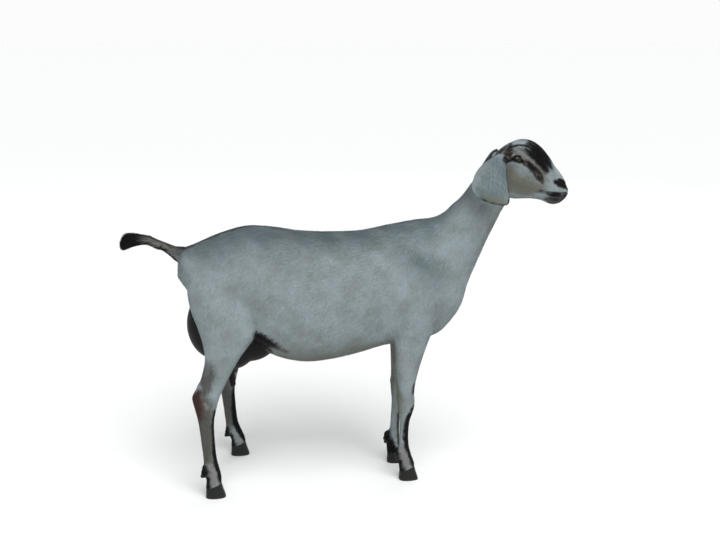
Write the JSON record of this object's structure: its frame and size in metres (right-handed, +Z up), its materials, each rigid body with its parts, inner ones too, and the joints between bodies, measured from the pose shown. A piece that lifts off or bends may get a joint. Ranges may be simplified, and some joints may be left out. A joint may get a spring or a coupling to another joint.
{
  "type": "nubian goat",
  "caption": "Life-size standing Nubian dairy doe with long hanging ears, Roman nose, full udder, raised tail and cloven feet.",
  "frame": {"origin": "on the floor, under the middle of the animal's bounding box", "axes": "+X towards the head, +Z up, the animal's right side towards -Y"},
  "size_m": [1.2892, 0.358, 1.0052],
  "materials": {
    "coat": "short flat grey fur",
    "dark_coat": "grey and black fur",
    "udder_skin": "dark bare skin",
    "hoof_horn": "dull dark horn",
    "eye": "wet, amber brown with a level slit pupil"
  },
  "bodies": {
    "root": {"head": "coat", "neck": "coat", "torso": "coat", "tail": "dark_coat", "ear_right": "coat", "eye_right": "eye", "udder_right": "udder_skin", "fore_right_upper_leg": "coat", "fore_right_lower_leg": "coat", "fore_right_inner_claw": "hoof_horn", "fore_right_inner_dewclaw": "hoof_horn", "fore_right_outer_claw": "hoof_horn", "fore_right_outer_dewclaw": "hoof_horn", "hind_right_upper_leg": "coat", "hind_right_lower_leg": "coat", "hind_right_inner_claw": "hoof_horn", "hind_right_inner_dewclaw": "hoof_horn", "hind_right_outer_claw": "hoof_horn", "hind_right_outer_dewclaw": "hoof_horn", "ear_left": "coat", "eye_left": "eye", "udder_left": "udder_skin", "fore_left_upper_leg": "coat", "fore_left_lower_leg": "coat", "fore_left_inner_claw": "hoof_horn", "fore_left_inner_dewclaw": "hoof_horn", "fore_left_outer_claw": "hoof_horn", "fore_left_outer_dewclaw": "hoof_horn", "hind_left_upper_leg": "coat", "hind_left_lower_leg": "coat", "hind_left_inner_claw": "hoof_horn", "hind_left_inner_dewclaw": "hoof_horn", "hind_left_outer_claw": "hoof_horn", "hind_left_outer_dewclaw": "hoof_horn"}
  },
  "joints": []
}
